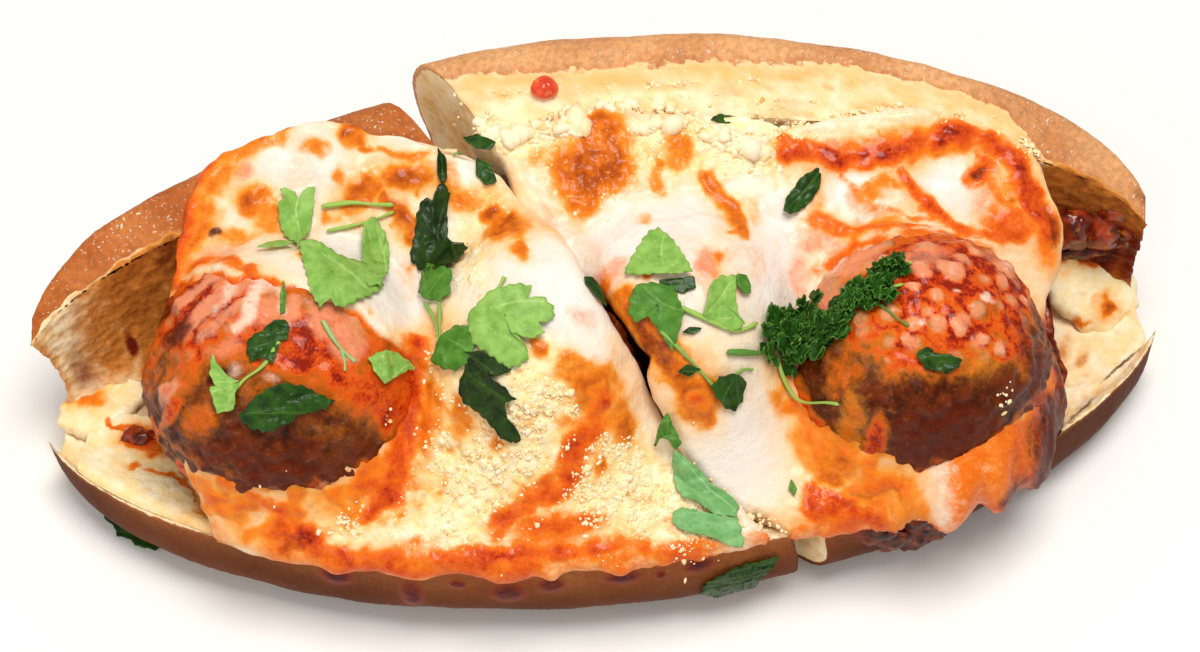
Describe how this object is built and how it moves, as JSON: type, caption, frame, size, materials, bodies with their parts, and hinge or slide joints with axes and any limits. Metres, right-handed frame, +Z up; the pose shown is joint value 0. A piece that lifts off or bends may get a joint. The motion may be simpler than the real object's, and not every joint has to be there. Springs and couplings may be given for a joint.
{
  "type": "meatball sandwich",
  "caption": "Hot torpedo roll slit open along its front, filled with meatballs, tomato sauce and melted cheese, and cut across into halves by one slanted cut.",
  "frame": {"origin": "centre of the sandwich's footprint, on the surface it rests on", "axes": "+X along the roll towards the half with the high lid, +Y from the open front to the hinge, +Z up"},
  "size_m": [0.2126, 0.098, 0.0589],
  "materials": {
    "bread": "baked wheat crust, brown and floury outside, pale open crumb where it is sliced",
    "meatball": "browned coarse minced meat, wet with tomato sauce and fat",
    "cheese": "melted mozzarella, milky and glossy, browned and stained orange in places, with grated hard cheese",
    "sauce": "cooked tomato sauce, wet and lumpy",
    "parsley": "torn fresh flat parsley leaves, some wilted dark by the oven's heat"
  },
  "bodies": {
    "root": {"bread_left": "bread", "bread_right": "bread", "meatball_left_end": "meatball", "meatball_left_middle": "meatball", "meatball_right_middle": "meatball", "meatball_right_end": "meatball", "cheese_left": "cheese", "cheese_right": "cheese", "sauce_left": "sauce", "sauce_right": "sauce"}
  },
  "joints": []
}
